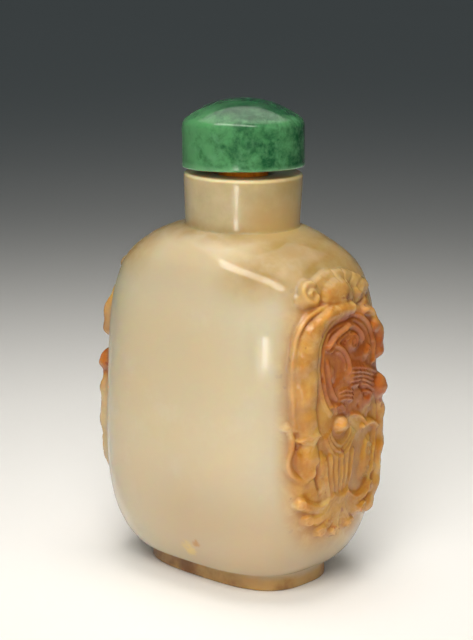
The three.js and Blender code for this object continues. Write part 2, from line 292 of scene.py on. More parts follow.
def carve_outer_leaves(relief):
    stroke(relief, (7.2, 38.6), (8.9, 38.3), (8.4, 34.5), 1.1, 1.1, 1.35)
    stroke(relief, (4.6, 41.2), (7.6, 41.0), (8.0, 38.4), 0.5, 0.7, 1.0)
    stroke(relief, (6.4, 37.6), (7.4, 35.6), (6.6, 33.4), 0.32, 0.26, 0.9)
    stroke(relief, (8.6, 27.6), (11.0, 20.5), (6.9, 12.0), 1.1, 1.3, 1.3, 0.42)
    veins = 8
    for k in range(veins):
        z = lerp(26.0, 14.5, k / (veins - 1))
        v0 = 8.9 - 0.035 * (z - 21.5) ** 2 * 0.5
        groove(relief, (v0 - 0.9, z + 0.5), (v0, z + 0.1), (v0 + 0.9, z - 0.7), 0.2, 0.12)
    stroke(relief, (7.2, 27.4), (8.6, 21.0), (5.2, 14.0), 0.3, 0.34, 0.85)
    stroke(relief, (4.6, 24.8), (6.6, 24.9), (8.2, 23.4), 0.5, 0.4, 1.05)
    curl(relief, 6.9, 17.6, 0.95, 100, -1.3, 1.0)


def carve_lower_leaf(relief):
    stroke(relief, (-10.0, 27.0), (-8.7, 24.4), (-9.8, 21.9), 0.42, 0.45, 0.6)
    stroke(relief, (-9.8, 21.9), (-9.9, 19.2), (-7.2, 18.4), 0.45, 0.4, 0.65)
    curl(relief, -10.0, 26.7, 0.7, 200, 1.2, 0.75)
    relief.raise_boss(-7.0, 21.7, 1.75, 3.4, 1.5, 0.45, 4)
    stroke(relief, (-8.6, 24.7), (-7.5, 25.8), (-5.6, 25.1), 0.34, 0.3, 1.5)
    curl(relief, -8.0, 24.5, 0.62, 10, 1.2, 1.5)
    relief.cut_dot(-6.9, 17.2, 1.35, 0.3)
    groove(relief, (-5.9, 20.7), (-5.4, 18.4), (-4.7, 15.9), 0.55, 1.0)


def carve_bud(relief):
    cups = 3
    for k in range(cups):
        low = 22.9 - 0.95 * k
        half_width = 2.3 + 0.4 * k
        rim_z = 25.3 - 0.45 * k
        left = (-1.1 - half_width, rim_z)
        right = (-1.1 + half_width, rim_z - 0.3)
        stroke(relief, left, (-1.1, 2 * low - rim_z), right, 0.3, 0.26, 0.75)
    relief.raise_boss(-1.2, 25.7, 1.55, 1.25, 1.75, 0.5)
    stroke(relief, (1.4, 26.8), (3.6, 26.6), (4.9, 24.4), 0.36, 0.3, 0.85)
    relief.raise_boss(3.8, 24.5, 0.5, 0.5, 1.15)


def carve_stems(relief):
    stems = 6
    for k in range(stems):
        spread = k - 2.5
        start = (-1.2 + 1.25 * spread, 21.4)
        bend = (-1.1 + 1.0 * spread, 18.0)
        end = (-1.0 + 0.55 * spread, 13.6)
        stroke(relief, start, bend, end, 0.4, 0.38, 0.75)


def carve_fronds(relief):
    root_v, root_z = -0.8, 17.5
    fronds = 7

    def at(angle, radius):
        return (root_v + radius * math.cos(angle), root_z + radius * math.sin(angle))

    for k in range(fronds):
        angle = math.radians(197 + 143 * k / (fronds - 1))
        side = -1 if k < fronds / 2 else 1
        inner = lerp(angle, 1.5 * math.pi, 0.45)
        stroke(relief, at(inner, 2.2), at(inner, 6.0), at(angle, 7.3), 0.4, 0.95, 1.05, 0.45)
        groove(relief, at(inner, 3.2), at(inner, 6.0), at(angle, 7.0), 0.2, 0.4)
        tip_v, tip_z = at(angle, 7.6)
        curl(relief, tip_v, tip_z, 1.0, math.degrees(angle) + 90 * side, 1.3 * side, 1.2)
    for k in range(fronds - 1):
        angle = math.radians(197 + 143 * (k + 0.5) / (fronds - 1))
        inner = lerp(angle, 1.5 * math.pi, 0.45)
        stroke(relief, at(inner, 3.4), at(inner, 5.5), at(angle, 6.9), 0.24, 0.36, 0.8)


def carve_panel_leaves(relief):
    """Smaller scrolls that fill the ground around the main forms."""
    stroke(relief, (0.6, 41.0), (5.6, 41.4), (6.5, 36.6), 0.34, 0.3, 0.85)
    stroke(relief, (0.6, 40.3), (4.8, 40.4), (5.7, 36.4), 0.24, 0.22, 0.6)
    curl(relief, 4.9, 35.2, 0.85, 90, -1.3, 0.9)
    stroke(relief, (-3.9, 35.4), (-3.6, 31.6), (-1.9, 29.6), 0.3, 0.24, 0.65)
    relief.raise_boss(-3.1, 33.6, 0.8, 1.5, 0.55, 0.5, 20)
    relief.raise_boss(4.9, 19.7, 1.35, 3.7, 0.95, 0.5, -16)
    groove(relief, (5.3, 22.9), (5.0, 19.6), (4.0, 16.6), 0.2, 0.35)
    for k in range(5):
        z = 22.0 - 1.15 * k
        v0 = 4.9 - 0.1 * k
        stroke(relief, (v0, z), (v0 + 0.7, z - 0.1), (6.2 - 0.2 * k, z - 0.8), 0.16, 0.12, 1.15)
    relief.raise_boss(-4.7, 20.6, 0.75, 2.3, 0.8, 0.5, 10)
    relief.raise_boss(5.6, 28.4, 1.2, 1.5, 0.8, 0.5, 30)
    stroke(relief, (4.4, 29.4), (5.9, 29.8), (6.9, 27.6), 0.26, 0.2, 1.05)
    drilled = ((-2.6, 31.9, 0.35), (5.9, 25.9, 0.4), (2.9, 27.9, 0.4), (6.3, 14.6, 0.45))
    for v0, z0, radius in drilled:
        relief.cut_dot(v0, z0, radius, 0.45)


def carved_ground(v, z):
    t = np.hypot((np.abs(v) / 9.6) ** 1.5, (np.abs(z - 28) / 19.4) ** 1.5)
    return 0.3 * smooth((1 - t) / 0.2)


def wander(v, z, size, seed):
    """A smooth irregular field between about -1 and 1, from a few crossed waves."""
    rng = np.random.default_rng(seed)
    total = np.zeros_like(v)
    waves = 7
    for _ in range(waves):
        angle = rng.uniform(0, 2 * np.pi)
        length = size * rng.uniform(0.7, 1.6)
        phase = rng.uniform(0, 2 * np.pi)
        total += np.sin(2 * np.pi * (v * math.cos(angle) + z * math.sin(angle)) / length + phase)
    return total / math.sqrt(waves)


def carve(v, z):
    """Heights of the whole carving over the plain body at points (v, z), cut and worn by hand."""
    hand_v = v + 0.08 * wander(v, z, 5.0, 1)
    hand_z = z + 0.08 * wander(v, z, 5.0, 3)
    relief = Relief(hand_v, hand_z)
    relief.height = carved_ground(v, z)
    carve_panel_leaves(relief)
    carve_crest(relief)
    carve_leaf_edge(relief)
    carve_figure(relief)
    carve_outer_leaves(relief)
    carve_lower_leaf(relief)
    carve_bud(relief)
    carve_stems(relief)
    carve_fronds(relief)
    depth = 1 + 0.10 * wander(v, z, 3.5, 5)
    facets = 0.035 * wander(v, z, 1.1, 6) + 0.02 * wander(v, z, 0.6, 7)
    return relief.height * depth + facets * smooth(relief.height / 0.4)


# ---- Sections of the bottle ----
def fillet_sharpness(z):
    """How tight the fillet between the shoulder and the neck is: slack near the neck only."""
    return 12 - 7.5 * smooth((z - 38) / 10)


def body_section(z):
    """Half sizes and squareness of the plain body at a height."""
    up = z > WIDEST_Z
    reach = BODY_TOP_Z - WIDEST_Z if up else WIDEST_Z - BODY_BOTTOM_Z
    t = (z - WIDEST_Z) / reach
    powers = HIGH_POWER if up else LOW_POWER
    half_x = BODY_HALF[0] * arch(t, powers[0])
    half_y = BODY_HALF[1] * (1 - THINNING * (z - WIDEST_Z)) * arch(t, powers[1])
    if not up:
        return z, half_x, half_y, SQUARENESS
    rounding = smooth((z - 45) / (BODY_TOP_Z - 45))
    half_x = filleted_max(half_x, NECK_BASE_RADIUS, fillet_sharpness(z))
    half_y = filleted_max(half_y, NECK_BASE_RADIUS, fillet_sharpness(z))
    return z, half_x, half_y, SQUARENESS - rounding * (SQUARENESS - 2)


def even_heights(from_z, to_z, rows):
    """Heights spaced evenly along the body's profile."""
    t = np.linspace(0, 1, 4001)
    z = lerp(from_z, to_z, 0.5 - 0.5 * np.cos(np.pi * t))
    half_x = np.array([body_section(height)[1] for height in z])
    along = np.concatenate([[0], np.cumsum(np.hypot(np.diff(z), np.diff(half_x)))])
    return np.interp(np.linspace(0, along[-1], rows + 1), along, z)


def rounded_foot():
    """Sections of the foot rim, from its flat underside up to the body."""
    half_x, half_y = FOOT_HALF
    sections = []
    for angle in np.radians(np.linspace(0, 90, 5)):
        inset = FOOT_BEVEL * (1 - math.sin(angle))
        z = FOOT_BEVEL * (1 - math.cos(angle))
        sections.append((z, half_x - inset, half_y - inset, SQUARENESS))
    for share in (0.3, 0.6, 0.85):
        sections.append((FOOT_HEIGHT * share, half_x, half_y, SQUARENESS))
    sections.append((FOOT_HEIGHT, half_x + 0.2, half_y + 0.2, SQUARENESS))
    sections.append((FOOT_HEIGHT + 0.3, half_x + 0.75, half_y + 1.2, SQUARENESS))
    return sections


def rounded_neck():
    """Sections of the neck, from the shoulder up over the lip and into the mouth."""
    sections = []
    straight_top = NECK_TOP_Z - LIP
    for z in np.linspace(BODY_TOP_Z + 0.5, straight_top, 12):
        t = (z - BODY_TOP_Z) / (NECK_TOP_Z - BODY_TOP_Z)
        radius = lerp(NECK_BASE_RADIUS, NECK_TOP_RADIUS, smooth(t))
        sections.append((z, radius, radius, 2.0))
    for angle in np.radians(np.linspace(15, 90, 6)):
        radius = NECK_TOP_RADIUS - LIP * (1 - math.cos(angle))
        sections.append((straight_top + LIP * math.sin(angle), radius, radius, 2.0))
    sections.append((NECK_TOP_Z, BORE + 0.9, BORE + 0.9, 2.0))
    sections.append((NECK_TOP_Z - 0.08, BORE + 0.45, BORE + 0.45, 2.0))
    sections.append((NECK_TOP_Z - 0.4, BORE, BORE, 2.0))
    return sections


def inner_sections():
    """Sections of the bore and the hollow, from the mouth down to the well's floor."""
    sections = [(z, BORE, BORE, 2.0) for z in (56.0, 52.0, CAVITY_Z[1] + 1)]
    rows = 16
    for row in range(rows):
        t = math.cos(math.pi * (row + 1) / (rows + 0.6))
        reach = CAVITY_Z[1] - WIDEST_Z if t > 0 else WIDEST_Z - CAVITY_Z[0]
        width = float(arch(t, CAVITY_SQUARENESS))
        sharpness = 6 if t > 0 else 60
        half_x = filleted_max(CAVITY_HALF[0] * width, BORE, sharpness)
        half_y = filleted_max(CAVITY_HALF[1] * width, BORE, sharpness)
        sections.append((WIDEST_Z + reach * t, half_x, half_y, CAVITY_SQUARENESS))
    return sections


def under_sections():
    """Sections of the recess under the foot, from its ceiling out to the rim."""
    half_x, half_y = RECESS_HALF
    return [
        (RECESS_DEPTH, half_x * 0.5, half_y * 0.5, SQUARENESS),
        (RECESS_DEPTH, half_x - 0.6, half_y - 0.6, SQUARENESS),
        (RECESS_DEPTH - 0.4, half_x - 0.15, half_y - 0.15, SQUARENESS),
        (0.15, half_x, half_y, SQUARENESS),
        (0.0, half_x + 0.2, half_y + 0.2, SQUARENESS),
    ]


def column_angles():
    angles = []
    plain_span = math.pi - 2 * CARVED_HALF_ANGLE
    for side in (0, math.pi):
        for i in range(CARVED_COLUMNS):
            angles.append(side + lerp(-CARVED_HALF_ANGLE, CARVED_HALF_ANGLE, i / CARVED_COLUMNS))
        for i in range(PLAIN_COLUMNS):
            angles.append(side + CARVED_HALF_ANGLE + plain_span * i / PLAIN_COLUMNS)
    return np.array(angles)


def rings_of(sections, angles):
    """Points of every section at every angle, as rows x columns x 3."""
    rings = []
    for z, half_x, half_y, power in sections:
        x, y = superellipse(angles, power)
        rings.append(np.stack([half_x * x, half_y * y, np.full_like(x, z)], 1))
    return np.array(rings)


def outward(rings):
    """Unit directions out of a grid of points whose columns run around Z."""
    around = np.roll(rings, -1, 1) - np.roll(rings, 1, 1)
    upwards = np.gradient(rings, axis=0)
    normal = np.cross(around, upwards)
    return normal / np.linalg.norm(normal, axis=2, keepdims=True)


# ---- Meshes ----
def grid_faces(rows, columns):
    """Faces between neighbouring rings, facing out when the rings climb."""
    faces = []
    for i in range(rows - 1):
        low, high = i * columns, (i + 1) * columns
        for j in range(columns):
            after = (j + 1) % columns
            faces.append((low + j, low + after, high + after, high + j))
    return faces


def new_object(name, points_mm, faces, replaced):
    mesh = bpy.data.meshes.new(name)
    mesh.from_pydata([tuple(p) for p in np.asarray(points_mm) * MM], [], faces)
    mesh.update()
    for polygon in mesh.polygons:
        polygon.use_smooth = True
    obj = bpy.data.objects.new(name, mesh)
    bpy.context.scene.collection.objects.link(obj)
    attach(obj, "root")
    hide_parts(replaced)
    return obj


def add_attribute(obj, name, values):
    attribute = obj.data.attributes.new(name, "FLOAT", "POINT")
    attribute.data.foreach_set("value", np.asarray(values, np.float32))


def blurred(grid, reach):
    """A grid averaged over a square neighbourhood; its columns wrap around."""
    total = grid.copy()
    for axis in (0, 1):
        summed = np.zeros_like(total)
        for shift in range(-reach, reach + 1):
            if axis == 1:
                summed += np.roll(total, shift, 1)
            else:
                rows = np.clip(np.arange(total.shape[0]) + shift, 0, total.shape[0] - 1)
                summed += total[rows]
        total = summed / (2 * reach + 1)
    return total


def body_relief(body):
    """A body grid's places in side elevation, what is on a narrow side, and the carving there."""
    v = body[:, :, 1] * np.sign(body[:, :, 0])
    z = body[:, :, 2]
    on_side = np.abs(body[:, :, 0]) > 0.5 * BODY_HALF[0]
    height = np.zeros_like(v)
    height[on_side] = carve(v[on_side], z[on_side])
    # Long handling has rounded every edge and half filled the narrowest grooves.
    return v, z, on_side, lerp(height, blurred(height, 2), 0.4)


def skin_fields(v, z, on_side, height):
    """Where each kind of skin lies on a body grid, and how far the carving stands up there."""
    reach = np.hypot((np.abs(v) / 11.2) ** 1.4, (np.abs(z - 28) / 21.5) ** 1.4)
    knob = smooth(1.4 - np.hypot((v - 8.1) / 2.4, (z - 29.5) / 2.5))
    figure = smooth((1.14 - np.hypot((v - 1.6) / 7.6, (z - 34.2) / 7.9)) / 0.35)
    return {
        "skin": smooth((1.12 - reach) / 0.42) * on_side,
        "panel": np.maximum(knob, figure) * on_side,
        "stems": smooth(1.3 - np.hypot((v - 1.0) / 6.5, (z - 19.0) / 7.5)) * on_side,
        "lift": height - blurred(height, 5),
    }


def make_bottle():
    angles = column_angles()
    body_z = even_heights(FOOT_HEIGHT + 0.55, BODY_TOP_Z, BODY_ROWS)
    below = rings_of(under_sections() + rounded_foot(), angles)
    body = rings_of([body_section(z) for z in body_z], angles)
    neck = rings_of(rounded_neck(), angles)
    v, z, on_side, height = body_relief(body)
    body += outward(body) * height[:, :, None]

    outside = np.concatenate([below, body, neck])
    columns = len(angles)
    points = outside.reshape(-1, 3)
    faces = grid_faces(len(outside), columns)

    inner_angles = np.linspace(0, 2 * np.pi, BORE_COLUMNS, endpoint=False)
    inside = rings_of(inner_sections(), inner_angles)
    inner_start = len(points)
    points = np.concatenate([points, inside.reshape(-1, 3)])
    for face in grid_faces(len(inside), BORE_COLUMNS):
        faces.append(tuple(inner_start + k for k in face))

    mouth_start = (len(outside) - 1) * columns
    faces += bridge(points, mouth_start, columns, inner_start, BORE_COLUMNS)
    floor_start = inner_start + (len(inside) - 1) * BORE_COLUMNS
    faces += fan(len(points), floor_start, BORE_COLUMNS)
    faces += [face[::-1] for face in fan(len(points) + 1, 0, columns)]
    centres = [(0, 0, inside[-1, 0, 2]), (0, 0, RECESS_DEPTH)]
    points = np.concatenate([points, centres])

    obj = new_object("bottle_carved", points, faces, "bottle")
    off_grid = len(points) - outside.shape[0] * columns
    for name, grid in skin_fields(v, z, on_side, height).items():
        padded = np.pad(grid, ((len(below), len(neck)), (0, 0)))
        add_attribute(obj, name, np.concatenate([padded.ravel(), np.zeros(off_grid)]))
    return obj


def bridge(points, outer_start, outer_count, inner_start, inner_count):
    """Triangles that join two rings of different counts, both turning the same way."""
    faces = []
    i = j = 0
    while i < outer_count or j < inner_count:
        a = outer_start + i % outer_count
        b = inner_start + j % inner_count
        outer_next = ring_turn(points, outer_start, i + 1, outer_count) <= (j + 1) / inner_count
        if j >= inner_count or (i < outer_count and outer_next):
            faces.append((a, outer_start + (i + 1) % outer_count, b))
            i += 1
        else:
            faces.append((a, inner_start + (j + 1) % inner_count, b))
            j += 1
    return faces


def ring_turn(points, start, index, count):
    """How far around its ring a point is, as a share of a turn."""
    if index >= count:
        return 1.0
    by_count = index / count
    x, y, _ = points[start + index]
    by_angle = math.atan2(y, x) / (2 * math.pi) % 1.0
    return by_angle if abs(by_angle - by_count) < 0.5 else by_count


def fan(centre, start, count):
    """Triangles that close a ring around a point."""
    return [(centre, start + (j + 1) % count, start + j) for j in range(count)]


def turned(name, profile, segments, replaced):
    """A closed body of revolution from (radius, z) pairs that start and end on the axis."""
    angles = np.linspace(0, 2 * np.pi, segments, endpoint=False)
    c, s = np.cos(angles), np.sin(angles)
    rings = [np.stack([r * c, r * s, np.full(segments, z)], 1) for r, z in profile[1:-1]]
    ends = [(0, 0, profile[0][1]), (0, 0, profile[-1][1])]
    points = np.concatenate([*rings, ends])
    faces = grid_faces(len(rings), segments)
    faces += fan(len(points) - 2, 0, segments)
    last = (len(rings) - 1) * segments
    faces += [face[::-1] for face in fan(len(points) - 1, last, segments)]
    return new_object(name, points, faces, replaced)


def arc(centre_r, centre_z, radius, from_deg, to_deg, steps):
    angles = np.radians(np.linspace(from_deg, to_deg, steps + 1))
    return [(centre_r + radius * math.cos(a), centre_z + radius * math.sin(a)) for a in angles]


def make_cap():
    rise = CAP_TOP_Z - CAP_SHOULDER_Z
    dome = (CAP_RADIUS**2 + rise**2) / (2 * rise)
    dome_z = CAP_TOP_Z - dome
    round_radius = CAP_RADIUS - CAP_SHOULDER
    round_height = math.sqrt((dome - CAP_SHOULDER) ** 2 - round_radius**2)
    dome_edge = math.degrees(math.atan2(round_height, round_radius))
    socket = PLUG_TOP_RADIUS + CLEARANCE
    top = CAP_BOTTOM_Z + SOCKET_DEPTH
    profile = [(0, top), (socket * 0.6, top), (socket - 0.1, top), (socket, top - 0.1)]
    profile += [(socket, CAP_BOTTOM_Z + 0.12), (socket + 0.12, CAP_BOTTOM_Z), (6.0, CAP_BOTTOM_Z)]
    profile += arc(CAP_RADIUS - CAP_EDGE, CAP_BOTTOM_Z + CAP_EDGE, CAP_EDGE, -90, 0, 8)
    round_z = dome_z + round_height
    profile += [(CAP_RADIUS, z) for z in np.linspace(CAP_BOTTOM_Z + 1.4, round_z - 0.5, 9)]
    profile += arc(round_radius, round_z, CAP_SHOULDER, 0, dome_edge, 9)
    profile += arc(0, dome_z, dome, dome_edge + 1.5, 89, 26)
    profile.append((0, CAP_TOP_Z))
    cap = turned("cap_dome", profile, CAP_SEGMENTS, "stopper_cap")
    # The cap is glued a little askew on its cork: the side that faces this way is the higher one.
    hinge = Vector((-math.cos(CAP_LEAN_FACING), -math.sin(CAP_LEAN_FACING), 0))
    seat = Matrix.Translation((0, 0, CAP_BOTTOM_Z * MM))
    cap.data.transform(seat @ Matrix.Rotation(CAP_LEAN, 4, hinge) @ seat.inverted())
    return cap


def make_plug():
    top = CAP_BOTTOM_Z + SOCKET_DEPTH - 2 * CLEARANCE
    profile = [(0, PLUG_TIP_Z), (PLUG_TIP_RADIUS - 0.5, PLUG_TIP_Z)]
    profile += arc(PLUG_TIP_RADIUS - 0.4, PLUG_TIP_Z + 0.4, 0.4, -80, 0, 4)
    for t in np.linspace(0, 1, 24):
        radius = lerp(PLUG_TIP_RADIUS, PLUG_TOP_RADIUS, t)
        profile.append((radius, lerp(PLUG_TIP_Z + 0.8, NECK_TOP_Z, t)))
    profile += [(PLUG_TOP_RADIUS, z) for z in np.linspace(NECK_TOP_Z + 0.2, top - 0.15, 8)]
    profile += [(PLUG_TOP_RADIUS - 0.15, top), (PLUG_TOP_RADIUS * 0.5, top), (0, top)]
    plug = turned("cork_plug", profile, PLUG_SEGMENTS, "stopper_plug")
    rng = np.random.default_rng(7)
    for vertex in plug.data.vertices:
        pit = 1 - 0.035 * rng.random() ** 3
        if PLUG_TIP_Z + 0.5 < vertex.co.z / MM < top - 0.3:
            vertex.co.x *= pit
            vertex.co.y *= pit
    return plug


# ---- Materials ----
class Graph:
    """A small helper for writing node materials."""

    def __init__(self, name):
        self.material = bpy.data.materials.new(name)
        self.material.use_nodes = True
        self.tree = self.material.node_tree
        self.shader = self.tree.nodes["Principled BSDF"]

    def node(self, kind, **settings):
        made = self.tree.nodes.new(kind)
        for key, value in settings.items():
            setattr(made, key, value)
        return made

    def link(self, source, target):
        self.tree.links.new(source, target)

    def feed(self, socket, value):
        """Links a value to a socket, or sets it there."""
        if isinstance(value, bpy.types.NodeSocket):
            self.link(value, socket)
        elif isinstance(value, tuple) and len(value) == 3 and socket.type == "RGBA":
            socket.default_value = (*value, 1.0)
        else:
            socket.default_value = value

    def place(self):
        return self.node("ShaderNodeTexCoord").outputs["Object"]

    def attribute(self, name):
        return self.node("ShaderNodeAttribute", attribute_name=name).outputs["Fac"]

    def noise(self, scale, detail, roughness, distortion=0.0, stretch=None):
        texture = self.node("ShaderNodeTexNoise")
        texture.inputs["Scale"].default_value = scale
        texture.inputs["Detail"].default_value = detail
        texture.inputs["Roughness"].default_value = roughness
        texture.inputs["Distortion"].default_value = distortion
        vector = self.place()
        if stretch:
            mapping = self.node("ShaderNodeMapping")
            mapping.inputs["Scale"].default_value = stretch
            self.link(vector, mapping.inputs["Vector"])
            vector = mapping.outputs["Vector"]
        self.link(vector, texture.inputs["Vector"])
        return texture.outputs["Fac"]

    def cells(self, scale):
        texture = self.node("ShaderNodeTexVoronoi")
        texture.inputs["Scale"].default_value = scale
        self.link(self.place(), texture.inputs["Vector"])
        return texture.outputs["Distance"]

    def ranged(self, value, low, high, to_low=0.0, to_high=1.0):
        """A value carried smoothly from one range to another, and held at its ends."""
        made = self.node("ShaderNodeMapRange", interpolation_type="SMOOTHSTEP")
        self.feed(made.inputs["Value"], value)
        ends = {"From Min": low, "From Max": high, "To Min": to_low, "To Max": to_high}
        for key, number in ends.items():
            made.inputs[key].default_value = number
        return made.outputs["Result"]

    def math(self, operation, a, b=0.0):
        made = self.node("ShaderNodeMath", operation=operation)
        self.feed(made.inputs[0], a)
        self.feed(made.inputs[1], b)
        return made.outputs["Value"]

    def mix(self, factor, a, b):
        made = self.node("ShaderNodeMix", data_type="RGBA")
        self.feed(made.inputs["Factor"], factor)
        self.feed(made.inputs["A"], a)
        self.feed(made.inputs["B"], b)
        return made.outputs["Result"]

    def axes(self):
        """The object's own X, Y and Z at a point, in metres."""
        split = self.node("ShaderNodeSeparateXYZ")
        self.link(self.place(), split.inputs["Vector"])
        return split.outputs

    def centred(self, noise, size):
        """A noise shifted to run both ways from zero, at a size."""
        return self.math("MULTIPLY", self.math("SUBTRACT", noise, 0.5), size)

    def glow(self, weight, radius, scale, ior):
        """Light that enters the stone and comes out near by, under a polished surface."""
        self.shader.inputs["Subsurface Weight"].default_value = weight
        self.shader.inputs["Subsurface Radius"].default_value = radius
        self.shader.inputs["Subsurface Scale"].default_value = scale
        self.shader.inputs["IOR"].default_value = ior

    def bump(self, height, strength, distance):
        made = self.node("ShaderNodeBump")
        made.inputs["Strength"].default_value = strength
        made.inputs["Distance"].default_value = distance
        self.link(height, made.inputs["Height"])
        self.link(made.outputs["Normal"], self.shader.inputs["Normal"])


# Small cloudy marks inside the stone: where they are, their size and their colour.
INCLUSIONS = (
    ((0.0040, -0.0130, 0.0075), 0.0011, (0.42, 0.20, 0.05)),
    ((0.0022, -0.0125, 0.0062), 0.0018, (0.62, 0.44, 0.14)),
    ((0.0118, -0.0105, 0.0150), 0.0012, (0.72, 0.62, 0.44)),
    ((0.0140, -0.0098, 0.0462), 0.0007, (0.40, 0.30, 0.14)),
    ((-0.0060, 0.0140, 0.0360), 0.0013, (0.50, 0.28, 0.08)),
)


def pale_colour(g, x, z, fine):
    """The plain stone: cloudy, greyer at the edges, warmer at the shoulder, darker and browner
    low down.
    """
    from_middle = g.math("ABSOLUTE", g.math("SUBTRACT", z, 0.026))
    spread_x = g.math("POWER", g.math("MULTIPLY", g.math("ABSOLUTE", x), 1 / 0.017), 2.0)
    spread_z = g.math("POWER", g.math("MULTIPLY", from_middle, 1 / 0.021), 2.0)
    clouds = g.centred(g.noise(38, 3, 0.5), 1.6)
    edge = g.math("ADD", g.math("ADD", spread_x, spread_z), clouds)
    pale = g.mix(g.ranged(edge, 0.2, 1.2), (0.56, 0.475, 0.315), (0.515, 0.47, 0.34))
    grey = g.ranged(g.noise(24, 2, 0.5), 0.5, 0.72, 0.0, 0.7)
    pale = g.mix(grey, pale, (0.49, 0.455, 0.335))
    pale = g.mix(g.math("MULTIPLY", g.ranged(fine, 0.5, 0.75), 0.3), pale, (0.62, 0.575, 0.44))
    veil = g.ranged(g.noise(75, 4, 0.6, 0.8), 0.56, 0.72, 0.0, 0.35)
    pale = g.mix(veil, pale, (0.56, 0.455, 0.26))
    pale = g.mix(g.ranged(z, 0.0405, 0.0480), pale, (0.505, 0.425, 0.280))
    # Darker and browner low down, most towards +X.
    darker_low_down = g.math("MULTIPLY", g.ranged(z, 0.024, 0.010), g.ranged(x, -0.012, 0.004, 0.35, 1.0))
    return g.mix(darker_low_down, pale, (0.47, 0.365, 0.225))


def skin_colour(g, grain, panel, stems):
    """The skin of the carving: amber, russet in the panel, olive at the stems, with painted shade
    in its recesses and a painted highlight on its raised parts.
    """
    lift = g.attribute("lift")
    mottle = g.ranged(grain, 0.35, 0.7)
    amber = g.mix(mottle, (0.40, 0.165, 0.014), (0.54, 0.285, 0.050))
    patch = g.ranged(g.noise(210, 4, 0.6, 0.5), 0.52, 0.68, 0.0, 0.65)
    amber = g.mix(patch, amber, (0.60, 0.40, 0.15))
    russet = g.mix(mottle, (0.31, 0.080, 0.010), (0.43, 0.150, 0.026))
    olive = g.mix(mottle, (0.34, 0.140, 0.012), (0.44, 0.210, 0.032))
    skin_tone = g.mix(g.ranged(panel, 0.2, 0.75), amber, russet)
    skin_tone = g.mix(g.ranged(stems, 0.3, 0.9, 0.0, 0.8), skin_tone, olive)
    # Painted shade: the colour is made darker and redder where the carving dips below its
    # surroundings.
    recess_shade = g.mix(g.ranged(panel, 0.2, 0.7), (0.38, 0.125, 0.007), (0.27, 0.055, 0.003))
    skin_tone = g.mix(g.ranged(lift, -0.03, -0.35, 0.0, 0.9), skin_tone, recess_shade)
    # Painted highlight: the colour is made paler where the carving stands up, less so in the
    # panel.
    high = g.ranged(lift, 0.12, 0.5, 0.0, 0.5)
    ridge_highlight = g.math("MULTIPLY", high, g.ranged(panel, 0.9, 0.2, 0.3, 1.0))
    skin_tone = g.mix(ridge_highlight, skin_tone, (0.62, 0.35, 0.11))
    specks = g.ranged(g.noise(420, 3, 0.6), 0.64, 0.72, 0.0, 0.8)
    return g.mix(specks, skin_tone, (0.20, 0.018, 0.002))


def stains_and_lip_light(g, colour, place, fine):
    """A colour with the brown foot, the darker, warmer neck, a painted light on the top of the
    lip and the honey stain of the shoulder added.
    """
    x, y, z = place
    ragged_z = g.math("ADD", z, g.centred(g.noise(120, 3, 0.5), 0.003))
    blotch = g.ranged(g.noise(130, 4, 0.6), 0.35, 0.62)
    foot = g.mix(blotch, (0.19, 0.078, 0.014), (0.42, 0.25, 0.080))
    colour = g.mix(g.ranged(ragged_z, 0.0034, 0.0018), colour, foot)

    tone = g.ranged(fine, 0.35, 0.7)
    neck = g.mix(tone, (0.44, 0.365, 0.205), (0.52, 0.43, 0.265))
    colour = g.mix(g.ranged(z, 0.0508, 0.0535), colour, neck)
    # Painted light: the top of the neck's lip is made pale where the cap shades it.
    colour = g.mix(g.ranged(z, 0.0588, 0.0593, 0.0, 0.8), colour, (0.78, 0.64, 0.42))

    high = g.ranged(ragged_z, 0.0420, 0.0490)
    outer = g.ranged(g.math("ABSOLUTE", x), 0.0040, 0.0130)
    from_seam = g.math("ABSOLUTE", g.math("SUBTRACT", z, 0.0516))
    seam = g.ranged(from_seam, 0.0020, 0.0002, 0.0, 0.7)
    stain = g.math("MAXIMUM", g.math("MULTIPLY", high, outer), seam)
    patchy = g.ranged(g.noise(110, 4, 0.6), 0.3, 0.60, 0.45, 1.0)
    honey = g.mix(tone, (0.30, 0.190, 0.050), (0.41, 0.300, 0.135))
    colour = g.mix(g.math("MULTIPLY", stain, patchy), colour, honey)

    on_right = g.math("ADD", x, g.math("MULTIPLY", y, 0.5))
    on_neck = g.math("MULTIPLY", g.ranged(z, 0.0585, 0.0525), g.ranged(z, 0.0508, 0.0520))
    neck_right = g.math("MULTIPLY", g.ranged(on_right, 0.0005, 0.0065, 0.0, 0.8), on_neck)
    return g.mix(neck_right, colour, (0.50, 0.335, 0.125))


def body_stone():
    g = Graph("polished_pale_stone")
    x, y, z = g.axes()
    fine = g.noise(160, 5, 0.6)
    grain = g.noise(260, 6, 0.65)
    skin = g.attribute("skin")
    panel = g.attribute("panel")
    stems = g.attribute("stems")
    patchy = g.math("MULTIPLY", skin, g.ranged(g.noise(90, 4, 0.6), 0.2, 0.6, 0.72, 1.0))
    dyed = g.math("MAXIMUM", g.ranged(panel, 0.3, 0.8), g.ranged(stems, 0.4, 0.9, 0.0, 0.92))
    covered = g.math("MAXIMUM", patchy, dyed)
    colour = g.mix(covered, pale_colour(g, x, z, fine), skin_colour(g, grain, panel, stems))
    colour = stains_and_lip_light(g, colour, (x, y, z), fine)
    for place, size, tone in INCLUSIONS:
        colour = g.mix(inclusion(g, place, size), colour, tone)

    g.feed(g.shader.inputs["Base Color"], colour)
    g.feed(g.shader.inputs["Roughness"], g.ranged(grain, 0.3, 0.75, 0.07, 0.15))
    g.glow(1.0, (1.0, 0.55, 0.22), 0.0024, 1.6)
    chips = g.math("MULTIPLY", skin, g.noise(1500, 3, 0.6))
    g.bump(g.math("ADD", g.math("MULTIPLY", g.noise(420, 3, 0.6), 0.3), chips), 0.4, 0.0001)
    return g.material


